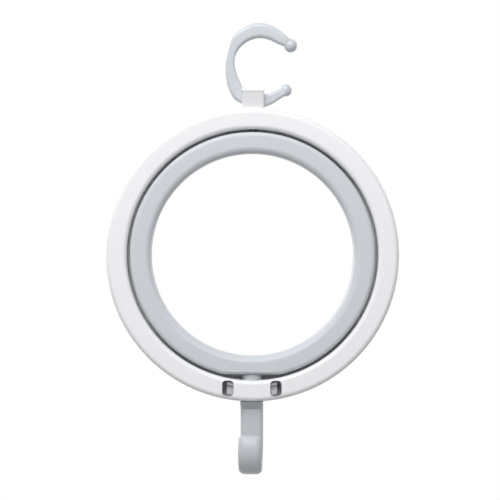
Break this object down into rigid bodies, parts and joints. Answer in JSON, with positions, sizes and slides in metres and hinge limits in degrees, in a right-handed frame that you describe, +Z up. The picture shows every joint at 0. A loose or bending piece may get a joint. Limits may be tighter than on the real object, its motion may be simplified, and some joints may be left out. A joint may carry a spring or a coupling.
{
  "type": "hat hook",
  "caption": "Moulded plastic hat hook: a C hook with ball tips over a laundry pole carries a ring, with a smaller ring turning inside it to hold a hat open and a J hook below.",
  "frame": {"origin": "on the axis of the pole that the hook hangs on, midway through the hook's depth", "axes": "+X to the right seen from the front, +Y to the back along the pole, +Z up"},
  "size_m": [0.159, 0.0313, 0.2443],
  "materials": {
    "white": "satin moulded",
    "pale_grey": "satin moulded",
    "hook_grey": "satin moulded",
    "lower_grey": "satin moulded",
    "clip_grey": "satin moulded",
    "pin_grey": "satin moulded"
  },
  "bodies": {
    "pole_hook": {"pole_hook": "hook_grey"},
    "outer_ring": {"outer_ring_front_shell": "white", "outer_ring_rear_shell": "white", "retaining_clip": "clip_grey"},
    "inner_ring": {"inner_ring_front_shell": "pale_grey", "inner_ring_rear_shell": "pale_grey", "accessory_hook": "lower_grey", "upper_pivot_pin": "pin_grey"}
  },
  "joints": [
    {"name": "bracket_pivot", "type": "hinge", "parent": "pole_hook", "child": "outer_ring", "pos_m": [-0.0047, 0, -0.01955], "axis": [0, 1, 0], "range_deg": [-8, 12]},
    {"name": "inner_ring_turn", "type": "hinge", "parent": "outer_ring", "child": "inner_ring", "pos_m": [-0.0047, 0, -0.10295], "axis": [0, 0, 1], "continuous": true}
  ]
}
